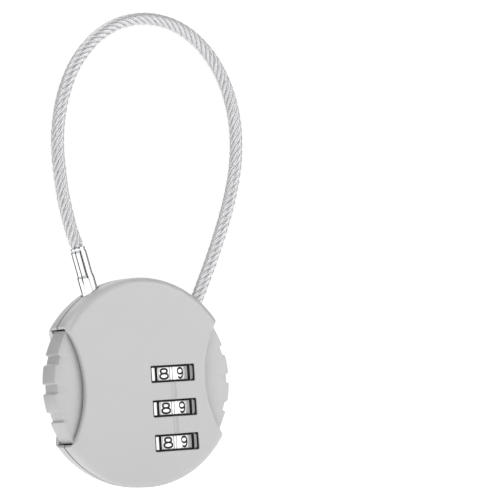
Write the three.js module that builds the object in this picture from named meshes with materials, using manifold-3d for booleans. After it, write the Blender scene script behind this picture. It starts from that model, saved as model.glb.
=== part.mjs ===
// A round combination lock for zip pulls, on a loop of sheathed steel cable.
// Millimetres, +Z up. X runs across the round body and Y from its face to its back.
// The origin is where the zip pulls hang, under the crown of the cable loop.

import * as THREE from 'three';
import { mergeVertices } from 'three/addons/utils/BufferGeometryUtils.js';
import Module from 'manifold-3d';

const wasm = await Module();
wasm.setup();

// ---- driving dimensions ----

// round body
const BODY_R = 21;
const BODY_T = 15;
const FRONT_EDGE_R = 1.75;
const BACK_RIM = 0.75;
const FACE_WALL = 1.1;
const SHELL_WALL = 1.4;
const FRONT_SHELL_DEPTH = 3.95;
const PARTING_GAP = 0.2;
const TIP_ANGLE = THREE.MathUtils.degToRad(34.2);
const WAIST_X = 13.68;

// side buttons
const BUTTON_SUNK = 1.2;
const BUTTON_RECESS = 1.4;
const BUTTON_T = 5.6;
const BUTTON_TRAVEL = 1.2;
const BUTTON_LAP = 0.63;
const BUTTON_END_GAP = 1.85;
const GROOVE_DEPTH = 0.6;
const GROOVE_W = 1.9;
const GROOVE_PITCH = 5.75;
const EAR_LENGTH = 1.2;
const EAR_W = 1.6;
const EAR_GAP = 0.65;

// number dials
const DIAL_X = 6.15;
const DIAL_TOP_Z = 1.45;
const DIAL_PITCH = 6.9;
const DIAL_COUNT = 3;
const DIAL_DIGITS = 10;
const DIAL_SUNK = 0.35;
const DIAL_BACK_WALL = 1.85;
const DIAL_RIM = 1.6;
const DIAL_REST_TURN = THREE.MathUtils.degToRad(4);
const DIGIT_GROOVE_W = 0.5;
const DIGIT_GROOVE_DEPTH = 0.3;
const WINDOW_W = 9.96;
const WINDOW_H = 3.44;
const WINDOW_GAP = 0.3;
const INDEX_W = 1.2;
const INDEX_DEPTH = 0.3;

// clutch sleeves and the lugged spindle inside the dials
const SPINDLE_R = 1.3;
const SLEEVE_WALL = 1.25;
const SLEEVE_LIP = 0.5;
const LUG_REACH = 0.8;
const LUG_W = 1.0;
const LUG_H = 0.9;
const HEAD_FLARE = 1.2;
const HEAD_H = 1.05;
const STUB_H = 2.2;
const WEDGE_W = 2.1;

// carrier comb and leaf spring beside the dials
const COMB_WALL = 1.0;
const SHELF_H = 1.1;
const LEAF_T = 0.3;
const LEAF_SPINE_OFFSET = 2.2;
const LEAF_SPINE_W = 1.2;
const LEAF_FINGER_REACH = 1.6;

// locking pin, ferrule and the latch that holds them
const PIN_ANGLE = THREE.MathUtils.degToRad(26.7);
const PIN_LEAN = THREE.MathUtils.degToRad(13.7);
const PIN_SHOULDER = 0.25;
const PIN_DEPTH = 12.8;
const PIN_NECK = 0.6;
const PIN_GROOVE_W = 1.5;
const PIN_GROOVE_DEPTH = 10.5;
const CLIP_WIRE_R = 0.4;
const CLIP_BEND = 2.4;
const CLIP_TAIL = 3.5;
const SPREADER_W = 2.2;
const SPREADER_T = 1.0;
const FERRULE_WALL = 0.25;
const FERRULE_H = 9.1;
const FERRULE_STEP = 5.7;
const FERRULE_STEP_IN = 0.18;
const FERRULE_SINK = 1.0;
const SOCKET_FLOOR = 0.6;
const PLUNGER_H = 1.6;
const EJECTOR_STROKE = 2.8;

// cable
const CABLE_R = 1.5;
const CABLE_ANGLE = THREE.MathUtils.degToRad(43.4);
const CABLE_LEAN = THREE.MathUtils.degToRad(26.6);
const CABLE_INSET = 2.2;
const ANCHOR_WALL = 0.4;
const ANCHOR_H = 2.2;

// rivets and the code-reset button in the back
const TOP_RIVET = [-0.5, 10.5];
const LEFT_RIVET = [-9.6, -7.0];
const LOW_RIVET_Z = -11.2;
const RIVET_SUNK = 0.7;
const RIVET_R = 0.8;
const RIVET_HEAD_R = 1.5;
const RIVET_HEAD_H = 0.6;
const RIVET_CHAMFER = 0.15;
const BOSS_WALL = 1.0;
const RESET_X = -4.6;
const RESET_Z = -6.8;
const RESET_R = 1.1;
const RESET_COLLAR = 0.8;
const RESET_SINK = 0.5;

// button springs and the ribs they push against
const LEFT_SPRING_Z = -3.0;
const LEFT_SPRING_R = 1.3;
const LEFT_RIB_X = -8.4;
const RIGHT_SPRING_Z = 8.5;
const RIGHT_SPRING_R = 1.0;
const RIGHT_RIB_X = 10.4;
const RIB_T = 0.9;

// other springs
const SPINDLE_SPRING_R = 2.0;
const EJECTOR_SPRING_R = 1.4;
const RESET_SPRING_R = 1.6;
const WIRE_R = 0.2;
const SPRING_TURNS = 4;
const SPRING_STEPS = 8;

// clearances
const SLIDE_GAP = 0.3;
const RUN_GAP = 0.2;
const HOLE_GAP = 0.25;
const RIVET_GAP = 0.1;
const CUT = 1;

// smoothness
const ROUND = 64;
const SMALL_ROUND = 24;
const WIRE_SIDES = 5;

// The cable's middle line in the X-Z plane, from the ferrule over the crown to the fixed end,
// drawn for a body radius of ROUTE_BODY_R. The loop grows with the body.
const ROUTE_BODY_R = 21;
const CABLE_ROUTE = [
  [-12.7, 31.1], [-13.6, 35.2], [-14.2, 39.2], [-14.5, 43.2],
  [-14.6, 47.2], [-14.3, 51.2], [-13.5, 55.2], [-12.2, 59.1], [-10.3, 63.0],
  [-7.6, 66.6], [-4.2, 69.7], [0.2, 72.1], [5.0, 73.2], [9.8, 73.0],
  [14.3, 71.6], [18.2, 69.1], [21.5, 65.6], [24.0, 61.4], [25.6, 56.8],
  [26.4, 52.0], [26.4, 47.2], [25.8, 42.6], [24.6, 38.0], [23.0, 33.4],
  [21.1, 28.8], [18.9, 24.0], [16.7, 19.6],
];
const CABLE_STEPS = 60;

// ---- worked out from them ----

const FRONT = -BODY_T / 2;
const BACK = BODY_T / 2;
const PARTING = FRONT + FRONT_SHELL_DEPTH;
const FACE_INNER = FRONT + FACE_WALL;
const BACK_INNER = BACK - SHELL_WALL;
const BACK_EDGE_R = BACK - PARTING - BACK_RIM;
const CAVITY_R = BODY_R - SHELL_WALL;

const BUTTON_FRONT = FRONT + BUTTON_RECESS;
const BUTTON_BACK = BUTTON_FRONT + BUTTON_T;
const BUTTON_R = BODY_R - BUTTON_SUNK;
const TIP_X = BODY_R * Math.cos(TIP_ANGLE);
const BUTTON_HALF_H = BODY_R * Math.sin(TIP_ANGLE) - BUTTON_END_GAP;
const DIAL_R = (BODY_T - DIAL_SUNK - SLIDE_GAP - DIAL_BACK_WALL) / 2;
const BUTTON_INNER_X = WAIST_X - BUTTON_LAP;
const BITE_X = (BODY_R ** 2 - WAIST_X ** 2) / (2 * (TIP_X - WAIST_X));
const BITE_R = BITE_X - WAIST_X;
const BUTTON_INNER_R = BITE_R + BUTTON_LAP;
const buttonEdgeX = (z) => BITE_X - Math.sqrt(BUTTON_INNER_R ** 2 - z ** 2);

const DIAL_Y = FRONT + DIAL_SUNK + DIAL_R;
const DIAL_HUB_R = DIAL_R - DIAL_RIM;
const DIAL_HUB_H = DIAL_PITCH - SHELF_H - 2 * SLIDE_GAP;
const DIAL_BAND_H = WINDOW_H - 2 * WINDOW_GAP;
const SLEEVE_BORE_R = SPINDLE_R + SLIDE_GAP;
const LUG_R = SPINDLE_R + LUG_REACH;
const SLEEVE_RECESS_R = LUG_R + SLIDE_GAP;
const SLEEVE_R = SLEEVE_BORE_R + SLEEVE_WALL;
const DIAL_BORE_R = SLEEVE_R + RUN_GAP;
const SLEEVE_FLOOR = DIAL_HUB_H - SLEEVE_LIP - LUG_H - BUTTON_TRAVEL - 2 * SLIDE_GAP;
const LUG_Z = -DIAL_HUB_H / 2 + SLEEVE_FLOOR + SLIDE_GAP;
const dialZ = (index) => DIAL_TOP_Z - index * DIAL_PITCH;
const STACK_TOP = DIAL_TOP_Z + DIAL_HUB_H / 2;
const STACK_BOTTOM = dialZ(DIAL_COUNT - 1) - DIAL_HUB_H / 2;
const COMB_TOP = STACK_TOP + SLIDE_GAP + SHELF_H;
const COMB_BOTTOM = STACK_BOTTOM - SLIDE_GAP - SHELF_H;
const LEAF_X = DIAL_X - DIAL_R - SLIDE_GAP - LEAF_T;
const COMB_X = LEAF_X - SLIDE_GAP;
const COMB_END_X = BUTTON_INNER_X - BUTTON_TRAVEL - SLIDE_GAP;
const LEAF_LOW = dialZ(DIAL_COUNT - 1) - DIAL_BAND_H / 2;
const LEAF_HIGH = DIAL_TOP_Z + DIAL_BAND_H / 2;
const LEAF_SPINE_Y = DIAL_Y + LEAF_SPINE_OFFSET;

const HEAD_Z = COMB_TOP + SLIDE_GAP;
const HEAD_R = SPINDLE_R + HEAD_FLARE;
const WEDGE_Z = HEAD_Z + RUN_GAP;
const WEDGE_H = HEAD_FLARE;
const WEDGE_TIP_X = DIAL_X + HEAD_R + RUN_GAP + SLIDE_GAP;
const HEAD_TOP = HEAD_Z + HEAD_FLARE + HEAD_H;
const SPINDLE_TOP = HEAD_TOP + STUB_H;
const SPINDLE_BOTTOM = COMB_BOTTOM - SLIDE_GAP;
const SPINDLE_SPRING_TOP = SPINDLE_TOP + BUTTON_TRAVEL + SLIDE_GAP;

const FERRULE_R = CABLE_R + FERRULE_WALL;
const PIN_R = FERRULE_R - PIN_SHOULDER;
const PIN_GROOVE_R = PIN_R * PIN_NECK;
const PIN_BORE_R = PIN_R + SLIDE_GAP;
const FERRULE_HOLE_R = FERRULE_R + HOLE_GAP;
const CLIP_LEG_Y = PIN_GROOVE_R + RUN_GAP + CLIP_WIRE_R;
const CLIP_HALF_H = CLIP_WIRE_R + SLIDE_GAP;
const SOCKET_R = PARTING - FACE_INNER - HOLE_GAP;
const SOCKET_TOP = -(SHELL_WALL + FERRULE_SINK + 2 * SLIDE_GAP);
const SOCKET_BOTTOM = -(PIN_GROOVE_DEPTH - CLIP_HALF_H);
const BARREL_TOP = -(PIN_GROOVE_DEPTH + CLIP_HALF_H);
const PLUNGER_TOP = -(PIN_DEPTH + SLIDE_GAP);
const BARREL_FLOOR = PLUNGER_TOP - PLUNGER_H - EJECTOR_STROKE;
const CABLE_HOLE_R = CABLE_R + HOLE_GAP;
const ANCHOR_TOP = -(CABLE_INSET + SLIDE_GAP);
const ANCHOR_R = CABLE_R + ANCHOR_WALL;

const BOSS_R = RIVET_R + RIVET_GAP + BOSS_WALL;
const RIVET_TOP = BACK - RIVET_SUNK;
const LOW_RIVET = [COMB_X - COMB_WALL - SLIDE_GAP - BOSS_R, LOW_RIVET_Z];
const RIVET_SPOTS = [TOP_RIVET, LEFT_RIVET, LOW_RIVET];

const LOOP = CABLE_ROUTE.map((point) => point.map((size) => (size * BODY_R) / ROUTE_BODY_R));
const CROWN = LOOP.reduce((best, point) => (point[1] > best[1] ? point : best));
const HANG_POINT = new THREE.Vector3(CROWN[0], PARTING, CROWN[1] - CABLE_R);

// ---- finishes ----

function finish(color, roughness, metalness) {
  return new THREE.MeshStandardMaterial({ color, roughness, metalness });
}
const SATIN_SILVER = finish(0xcfcfcf, 0.45, 0.3);
const CHROME = finish(0xe4e4e6, 0.12, 1);
const STEEL = finish(0x9fa2a6, 0.35, 1);
const BRASS = finish(0xb9985a, 0.35, 1);
const WHITE_PLASTIC = finish(0xf1f1ee, 0.45, 0);
const BLACK_PLASTIC = finish(0x17181a, 0.5, 0);
const SHEATHED_CABLE = finish(0xd3d4d5, 0.25, 0.6);

// ---- solids: joining, cutting and placing ----

// The closed solid inside a geometry, with its corners merged.
function solid(geometry) {
  const bare = geometry.clone();
  bare.deleteAttribute('normal');
  bare.deleteAttribute('uv');
  const merged = mergeVertices(bare, 1e-5);
  return new wasm.Manifold(new wasm.Mesh({
    numProp: 3,
    vertProperties: new Float32Array(merged.attributes.position.array),
    triVerts: new Uint32Array(merged.index.array),
  }));
}

// A geometry with flat faces, from a solid.
function geometryOf(body) {
  const { vertProperties, triVerts } = body.getMesh();
  const geometry = new THREE.BufferGeometry();
  geometry.setAttribute('position', new THREE.BufferAttribute(new Float32Array(vertProperties), 3));
  geometry.setIndex(Array.from(triVerts));
  return geometry;
}

const joined = (first, ...rest) => rest.reduce((body, next) => body.add(next), first);
const cutBy = (body, ...cutters) => cutters.reduce((left, cutter) => left.subtract(cutter), body);

// A turned shape: its outline is a list of [radius, height] that starts and ends on the axis, going up.
// Across the face the axis is Y, and along a dial or a pin it is Z.
function turned(outline, sides = SMALL_ROUND) {
  return new THREE.LatheGeometry(outline.map(([r, h]) => new THREE.Vector2(r, h)), sides);
}
const turnedUp = (outline, sides) => turned(outline, sides).rotateX(Math.PI / 2);

// A plain cylinder between two heights.
const rod = (r, low, high, sides) => turnedUp([[0, low], [r, low], [r, high], [0, high]], sides);
const rodThrough = (r, low, high, sides) => turned([[0, low], [r, low], [r, high], [0, high]], sides);

// A tube between two heights: a rod less its bore.
function tube(r, bore, low, high) {
  return solid(rod(r, low, high)).subtract(solid(rod(bore, low - CUT, high + CUT)));
}

// A box from its lowest to its highest corner.
function box([x0, y0, z0], [x1, y1, z1]) {
  const shape = new THREE.BoxGeometry(x1 - x0, y1 - y0, z1 - z0);
  return shape.translate((x0 + x1) / 2, (y0 + y1) / 2, (z0 + z1) / 2);
}

// A plate with an outline of [x, z] points, between two depths.
function plate(outline, front, back) {
  const shape = new THREE.Shape(outline.map(([x, z]) => new THREE.Vector2(x, z)));
  const slab = new THREE.ExtrudeGeometry(shape, { depth: back - front, bevelEnabled: false });
  return slab.rotateX(Math.PI / 2).translate(0, back, 0);
}

// A round bar along a curve.
function bar(curve, r, steps, sides) {
  const section = new THREE.Shape();
  for (let i = 0; i < sides; i += 1) {
    const a = (2 * Math.PI * i) / sides;
    if (i === 0) section.moveTo(r * Math.cos(a), r * Math.sin(a));
    else section.lineTo(r * Math.cos(a), r * Math.sin(a));
  }
  section.closePath();
  return new THREE.ExtrudeGeometry(section, { steps, extrudePath: curve, bevelEnabled: false });
}

// Points on an arc about (x, z), both ends kept.
function arc(x, z, r, from, to, steps) {
  return Array.from({ length: steps + 1 }, (_, i) => {
    const a = from + ((to - from) * i) / steps;
    return [x + r * Math.cos(a), z + r * Math.sin(a)];
  });
}

// A coil spring standing on z = 0.
class Coil extends THREE.Curve {
  constructor(r, length) {
    super();
    this.r = r;
    this.length = length;
  }

  getPoint(t, target = new THREE.Vector3()) {
    const a = 2 * Math.PI * SPRING_TURNS * t;
    return target.set(this.r * Math.cos(a), this.r * Math.sin(a), this.length * t);
  }
}

// A spring that fills the stretch from 0 to length and the circle of radius outside.
function spring(outside, length) {
  const coil = new Coil(outside - WIRE_R, length - 2 * WIRE_R);
  return bar(coil, WIRE_R, SPRING_TURNS * SPRING_STEPS, WIRE_SIDES).translate(0, 0, WIRE_R);
}

function mesh(name, geometry, material) {
  const made = new THREE.Mesh(geometry, material);
  made.name = name;
  return made;
}

// ---- where the pin and the cable cross the rim ----

// A frame on the rim, with its own +Z pointing out of the body along a leaning axis.
function rimFrame(angle, lean) {
  const frame = new THREE.Group();
  frame.position.set(BODY_R * Math.sin(angle), PARTING, BODY_R * Math.cos(angle));
  frame.rotation.y = lean;
  frame.updateMatrix();
  return frame;
}
const pinFrame = rimFrame(-PIN_ANGLE, -PIN_LEAN);
const cableFrame = rimFrame(CABLE_ANGLE, CABLE_LEAN);

// ---- the two shells ----

// The outline of the front shell's outside, from the parting line round the front edge.
function frontOutline() {
  const edge = arc(BODY_R - FRONT_EDGE_R, FRONT + FRONT_EDGE_R, FRONT_EDGE_R, -Math.PI / 2, 0, 6);
  const parting = PARTING - PARTING_GAP / 2;
  return [[0, FRONT], ...edge, [BODY_R, parting], [0, parting]];
}

// The back shell: a straight rim, a wide round edge and a flat middle.
function backOutline(inset, low) {
  const edge = arc(BODY_R - BACK_EDGE_R, BACK - BACK_EDGE_R, BACK_EDGE_R - inset, 0, Math.PI / 2, 8);
  return [[0, low], [BODY_R - inset, low], ...edge, [0, BACK - inset]];
}

// The round bite that each button sits in, grown towards the middle of the body.
function bites(grown, front, back) {
  return [-BITE_X, BITE_X].map((x) => {
    const bite = rodThrough(BITE_R + grown, front, back, 2 * ROUND);
    return solid(bite.translate(x, 0, 0));
  });
}

// The holes through the rim, half in each shell.
function rimHoles() {
  const pinHole = rod(FERRULE_HOLE_R, -2 * SHELL_WALL - FERRULE_SINK, FERRULE_H);
  const cableHole = rod(CABLE_HOLE_R, -2 * SHELL_WALL - CABLE_INSET, FERRULE_H);
  return [
    solid(pinHole.applyMatrix4(pinFrame.matrix)),
    solid(cableHole.applyMatrix4(cableFrame.matrix)),
  ];
}

// Three windows, each as wide as its dial and just taller than the band of digits.
function windows() {
  return Array.from({ length: DIAL_COUNT }, (_, i) => solid(box(
    [DIAL_X - WINDOW_W / 2, FRONT - CUT, dialZ(i) - WINDOW_H / 2],
    [DIAL_X + WINDOW_W / 2, PARTING, dialZ(i) + WINDOW_H / 2],
  )));
}

// The index line, a shallow round groove from window to window.
function indexGrooves() {
  const r = (INDEX_W ** 2 / 4 + INDEX_DEPTH ** 2) / (2 * INDEX_DEPTH);
  return Array.from({ length: DIAL_COUNT - 1 }, (_, i) => {
    const groove = rod(r, dialZ(i + 1), dialZ(i), SMALL_ROUND * 2);
    return solid(groove.translate(DIAL_X, FRONT + INDEX_DEPTH - r, 0));
  });
}

function bosses(front, back) {
  return RIVET_SPOTS.map(([x, z]) => solid(rodThrough(BOSS_R, front, back).translate(x, 0, z)));
}

function rivetHoles() {
  return RIVET_SPOTS.map(([x, z]) => {
    const hole = turned([
      [0, FACE_INNER - FACE_WALL / 2], [RIVET_R + RIVET_GAP, FACE_INNER - FACE_WALL / 2],
      [RIVET_R + RIVET_GAP, RIVET_TOP - RIVET_HEAD_H - RIVET_GAP],
      [RIVET_HEAD_R + RIVET_GAP, RIVET_TOP - RIVET_HEAD_H - RIVET_GAP],
      [RIVET_HEAD_R + RIVET_GAP, BACK + CUT], [0, BACK + CUT],
    ]);
    return solid(hole.translate(x, 0, z));
  });
}

function makeFrontCase() {
  const outside = solid(turned(frontOutline(), ROUND));
  const cavity = solid(rodThrough(CAVITY_R, FACE_INNER, PARTING + CUT, ROUND));
  const shell = cutBy(outside, cavity, ...windows(), ...indexGrooves());
  const withBosses = joined(shell, ...bosses(FACE_INNER - FACE_WALL / 2, PARTING - PARTING_GAP / 2));
  return cutBy(withBosses, ...bites(0, FRONT - CUT, BACK + CUT), ...rimHoles(), ...rivetHoles());
}

// Ribs that the two button springs and the spindle's spring push against.
function springRibs() {
  const left = box(
    [LEFT_RIB_X, PARTING - LEFT_SPRING_R, LEFT_SPRING_Z - LEFT_SPRING_R],
    [LEFT_RIB_X + RIB_T, BACK, LEFT_SPRING_Z + LEFT_SPRING_R],
  );
  const right = box(
    [RIGHT_RIB_X - RIB_T, PARTING - RIGHT_SPRING_R, RIGHT_SPRING_Z - RIGHT_SPRING_R],
    [RIGHT_RIB_X, BACK, RIGHT_SPRING_Z + RIGHT_SPRING_R],
  );
  const top = box(
    [DIAL_X - HEAD_R, DIAL_Y - HEAD_R, SPINDLE_SPRING_TOP + SLIDE_GAP],
    [DIAL_X + HEAD_R, BACK, SPINDLE_SPRING_TOP + SLIDE_GAP + RIB_T],
  );
  return [left, right, top].map(solid);
}

// Shallow pockets that let the dials and their hubs run close to the domed back.
function dialPockets() {
  const pocket = (r, half, z) => solid(rod(r, z - half, z + half, ROUND).translate(DIAL_X, DIAL_Y, 0));
  return Array.from({ length: DIAL_COUNT }, (_, i) => joined(
    pocket(DIAL_R + SLIDE_GAP, WINDOW_H / 2, dialZ(i)),
    pocket(DIAL_HUB_R + SLIDE_GAP, DIAL_HUB_H / 2 + SLIDE_GAP, dialZ(i)),
  ));
}

function makeRearCase() {
  const low = PARTING + PARTING_GAP / 2;
  const outside = solid(turned(backOutline(0, low), ROUND));
  const room = solid(turned(backOutline(SHELL_WALL, low - CUT), ROUND));
  const walls = bites(SHELL_WALL, BUTTON_BACK + SLIDE_GAP, BACK + CUT);
  const cavity = cutBy(room, ...walls);
  const shell = cutBy(outside, cavity, ...dialPockets());
  const skin = solid(turned(backOutline(SHELL_WALL / 2, low - CUT), ROUND));
  const ribs = joined(...springRibs(), ...bosses(low, BACK)).intersect(skin);
  const resetHole = rodThrough(RESET_R + SLIDE_GAP, BACK_INNER - CUT, BACK + CUT);
  return cutBy(
    shell.add(ribs), ...bites(0, FRONT - CUT, BACK + CUT), ...rimHoles(), ...rivetHoles(),
    solid(resetHole.translate(RESET_X, 0, RESET_Z)),
  );
}

// ---- side buttons ----

// The ridged outer edge: an arc with three grooves, from the bottom end to the top end.
function ridgedEdge() {
  const radiusAt = (z) => {
    const inGroove = [-GROOVE_PITCH, 0, GROOVE_PITCH].some((g) => Math.abs(z - g) < GROOVE_W / 2);
    return inGroove ? BUTTON_R - GROOVE_DEPTH : BUTTON_R;
  };
  const edge = [];
  const stops = [-BUTTON_HALF_H];
  [-GROOVE_PITCH, 0, GROOVE_PITCH].forEach((g) => stops.push(g - GROOVE_W / 2, g + GROOVE_W / 2));
  stops.push(BUTTON_HALF_H);
  for (let i = 0; i + 1 < stops.length; i += 1) {
    const r = radiusAt((stops[i] + stops[i + 1]) / 2);
    for (let k = 0; k <= 3; k += 1) {
      const z = stops[i] + ((stops[i + 1] - stops[i]) * k) / 3;
      edge.push([Math.sqrt(r * r - z * z), z]);
    }
  }
  return edge;
}

// Room for the dials in the right button's inner edge, also when it is pushed in.
function dialRelief() {
  const relief = rod(DIAL_R + SLIDE_GAP, STACK_BOTTOM - CUT, STACK_TOP + CUT, ROUND);
  return solid(relief.translate(DIAL_X + BUTTON_TRAVEL, DIAL_Y, 0));
}

// A crescent between the ridged edge and an arc just inside the bite, with ears that the rim holds.
function buttonOutline(topEar) {
  const end = Math.asin(BUTTON_HALF_H / BUTTON_INNER_R);
  const inner = arc(BITE_X, 0, BUTTON_INNER_R, Math.PI - end, Math.PI + end, 20);
  const ear = (sign) => {
    const low = sign * BUTTON_HALF_H;
    const high = sign * (BUTTON_HALF_H + EAR_LENGTH);
    const outer = Math.sqrt((CAVITY_R - EAR_GAP) ** 2 - high ** 2);
    const corners = [[outer, low], [outer, high], [outer - EAR_W, high], [outer - EAR_W, low]];
    return sign > 0 ? corners : corners.reverse();
  };
  return [...ridgedEdge(), ...(topEar ? ear(1) : []), ...inner.slice(1, -1), ...ear(-1)];
}

function makeButton(side, topEar) {
  const crescent = plate(buttonOutline(topEar), BUTTON_FRONT, BUTTON_BACK);
  return side > 0 ? solid(crescent).subtract(dialRelief()) : solid(crescent).mirror([1, 0, 0]);
}

// ---- dials, sleeves and spindle ----

// Ten flats with a finger groove at each corner.
function dialOutline() {
  const flat = (2 * Math.PI) / DIAL_DIGITS;
  const half = DIGIT_GROOVE_W / 2 / DIAL_R;
  return Array.from({ length: DIAL_DIGITS }, (_, i) => i * flat).flatMap((a) => [
    [DIAL_R * Math.cos(a - half), DIAL_R * Math.sin(a - half)],
    [(DIAL_R - DIGIT_GROOVE_DEPTH) * Math.cos(a), (DIAL_R - DIGIT_GROOVE_DEPTH) * Math.sin(a)],
    [DIAL_R * Math.cos(a + half), DIAL_R * Math.sin(a + half)],
  ]);
}

function makeDial() {
  const shape = new THREE.Shape(dialOutline().map(([x, y]) => new THREE.Vector2(x, y)));
  const band = new THREE.ExtrudeGeometry(shape, { depth: DIAL_BAND_H, bevelEnabled: false });
  // a finger groove faces the front, so two digits show in the window
  band.rotateZ(-Math.PI / 2 + DIAL_REST_TURN).translate(0, 0, -DIAL_BAND_H / 2);
  const hub = solid(rod(DIAL_HUB_R, -DIAL_HUB_H / 2, DIAL_HUB_H / 2));
  const bore = solid(rod(DIAL_BORE_R, -DIAL_HUB_H, DIAL_HUB_H));
  return joined(solid(band), hub).subtract(bore);
}

// A sleeve with a round recess for its lug and a gate through its top lip.
function makeSleeve() {
  const half = DIAL_HUB_H / 2;
  const sleeve = tube(SLEEVE_R, SLEEVE_BORE_R, -half, half);
  const recess = solid(rod(SLEEVE_RECESS_R, -half + SLEEVE_FLOOR, half - SLEEVE_LIP));
  const gate = solid(box(
    [-LUG_W / 2 - RUN_GAP, -SLEEVE_RECESS_R, 0],
    [LUG_W / 2 + RUN_GAP, 0, DIAL_HUB_H],
  ));
  return cutBy(sleeve, recess, gate);
}

// The spindle: a rod with a lug for each sleeve, a flared head and a stub for its spring.
function makeSpindle() {
  const body = solid(turnedUp([
    [0, SPINDLE_BOTTOM], [SPINDLE_R, SPINDLE_BOTTOM], [SPINDLE_R, HEAD_Z],
    [HEAD_R, HEAD_Z + HEAD_FLARE], [HEAD_R, HEAD_TOP], [SPINDLE_R / 2, HEAD_TOP],
    [SPINDLE_R / 2, SPINDLE_TOP], [0, SPINDLE_TOP],
  ]));
  const lugs = Array.from({ length: DIAL_COUNT }, (_, i) => solid(box(
    [-LUG_W / 2, -LUG_R, dialZ(i) + LUG_Z],
    [LUG_W / 2, 0, dialZ(i) + LUG_Z + LUG_H],
  )));
  return joined(body, ...lugs);
}

// A comb with a back plate beside the dials and a shelf above and below each one.
function makeDialCarrier() {
  const back = box(
    [COMB_X - COMB_WALL, FACE_INNER + SLIDE_GAP, COMB_BOTTOM],
    [COMB_X, BACK_INNER - SLIDE_GAP, COMB_TOP],
  );
  const shelves = Array.from({ length: DIAL_COUNT + 1 }, (_, i) => {
    const low = COMB_TOP - SHELF_H - i * DIAL_PITCH;
    return solid(box(
      [COMB_X - COMB_WALL, FACE_INNER + SLIDE_GAP, low],
      [COMB_END_X, BACK_INNER - SLIDE_GAP, low + SHELF_H],
    ));
  });
  const bore = rod(SPINDLE_R + SLIDE_GAP, COMB_BOTTOM - CUT, COMB_TOP + CUT).translate(DIAL_X, DIAL_Y, 0);
  const leafSlot = box(
    [LEAF_X - SLIDE_GAP, LEAF_SPINE_Y - SLIDE_GAP, LEAF_LOW - SLIDE_GAP],
    [LEAF_X + LEAF_T + SLIDE_GAP, LEAF_SPINE_Y + LEAF_SPINE_W + SLIDE_GAP, LEAF_HIGH + SLIDE_GAP],
  );
  const room = solid(turned(backOutline(SHELL_WALL + SLIDE_GAP, FRONT), ROUND));
  return cutBy(joined(solid(back), ...shelves), solid(bore), solid(leafSlot)).intersect(room);
}

// A leaf with one finger on each dial's flat.
function makeLeafSpring() {
  const spine = solid(box(
    [LEAF_X, LEAF_SPINE_Y, LEAF_LOW],
    [LEAF_X + LEAF_T, LEAF_SPINE_Y + LEAF_SPINE_W, LEAF_HIGH],
  ));
  const fingers = Array.from({ length: DIAL_COUNT }, (_, i) => solid(box(
    [LEAF_X, DIAL_Y - LEAF_FINGER_REACH, dialZ(i) - DIAL_BAND_H / 2 + RUN_GAP],
    [LEAF_X + LEAF_T, LEAF_SPINE_Y + LEAF_SPINE_W / 2, dialZ(i) + DIAL_BAND_H / 2 - RUN_GAP],
  )));
  return joined(spine, ...fingers);
}

// The bar that the right button pushes under the spindle's flared head.
function makeWedge() {
  return box(
    [WEDGE_TIP_X, DIAL_Y - WEDGE_W, WEDGE_Z],
    [buttonEdgeX(WEDGE_Z) - SLIDE_GAP, BUTTON_BACK, WEDGE_Z + WEDGE_H],
  );
}

// ---- locking pin and latch, in the pin's own frame ----

function makePin() {
  const g0 = -(PIN_GROOVE_DEPTH + PIN_GROOVE_W / 2);
  const g1 = -(PIN_GROOVE_DEPTH - PIN_GROOVE_W / 2);
  return turnedUp([
    [0, -PIN_DEPTH], [PIN_R / 2, -PIN_DEPTH], [PIN_R, -PIN_DEPTH + PIN_R / 2], [PIN_R, g0],
    [PIN_GROOVE_R, g0], [PIN_GROOVE_R, g1], [PIN_R, g1],
    [PIN_R, -FERRULE_SINK - SLIDE_GAP], [0, -FERRULE_SINK - SLIDE_GAP],
  ]);
}

// The crimped ferrule: full width where it meets the body, then a slimmer barrel with a tapered mouth.
function makeFerrule() {
  const step = FERRULE_H - FERRULE_STEP;
  return turnedUp([
    [0, -FERRULE_SINK], [FERRULE_R, -FERRULE_SINK], [FERRULE_R, step - 2 * FERRULE_STEP_IN],
    [FERRULE_R - FERRULE_STEP_IN, step], [FERRULE_R - FERRULE_STEP_IN, FERRULE_H - 4 * FERRULE_STEP_IN],
    [FERRULE_R - 2 * FERRULE_STEP_IN, FERRULE_H], [0, FERRULE_H],
  ]);
}

// A hairpin of spring wire, with a leg in the pin's groove on each side.
function makeLatchClip() {
  const legs = new THREE.CurvePath();
  const z = -PIN_GROOVE_DEPTH;
  const bend = new THREE.CatmullRomCurve3(
    arc(CLIP_BEND, 0, CLIP_LEG_Y, -Math.PI / 2, Math.PI / 2, 8).map(([x, y]) => new THREE.Vector3(x, y, z)),
  );
  legs.add(new THREE.LineCurve3(
    new THREE.Vector3(-CLIP_TAIL, -CLIP_LEG_Y, z), new THREE.Vector3(CLIP_BEND, -CLIP_LEG_Y, z),
  ));
  legs.add(bend);
  legs.add(new THREE.LineCurve3(
    new THREE.Vector3(CLIP_BEND, CLIP_LEG_Y, z), new THREE.Vector3(-CLIP_TAIL, CLIP_LEG_Y, z),
  ));
  return bar(legs, CLIP_WIRE_R, 30, WIRE_SIDES);
}

// The wedge that the left button pushes between the tails of the clip.
function makeSpreader() {
  const tails = new THREE.Vector3(-CLIP_TAIL, 0, -PIN_GROOVE_DEPTH).applyMatrix4(pinFrame.matrix);
  const low = tails.z - SPREADER_T / 2;
  const tip = tails.x - BUTTON_TRAVEL;
  const foot = -buttonEdgeX(low) + SLIDE_GAP;
  const half = SPREADER_W / 2;
  const shape = new THREE.Shape([
    new THREE.Vector2(foot, -half), new THREE.Vector2(tip - half, -half), new THREE.Vector2(tip, 0),
    new THREE.Vector2(tip - half, half), new THREE.Vector2(foot, half),
  ]);
  const wedge = new THREE.ExtrudeGeometry(shape, { depth: SPREADER_T, bevelEnabled: false });
  return wedge.translate(0, PARTING, low);
}

const makeSocket = () => tube(SOCKET_R, PIN_BORE_R, SOCKET_BOTTOM, SOCKET_TOP);

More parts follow.
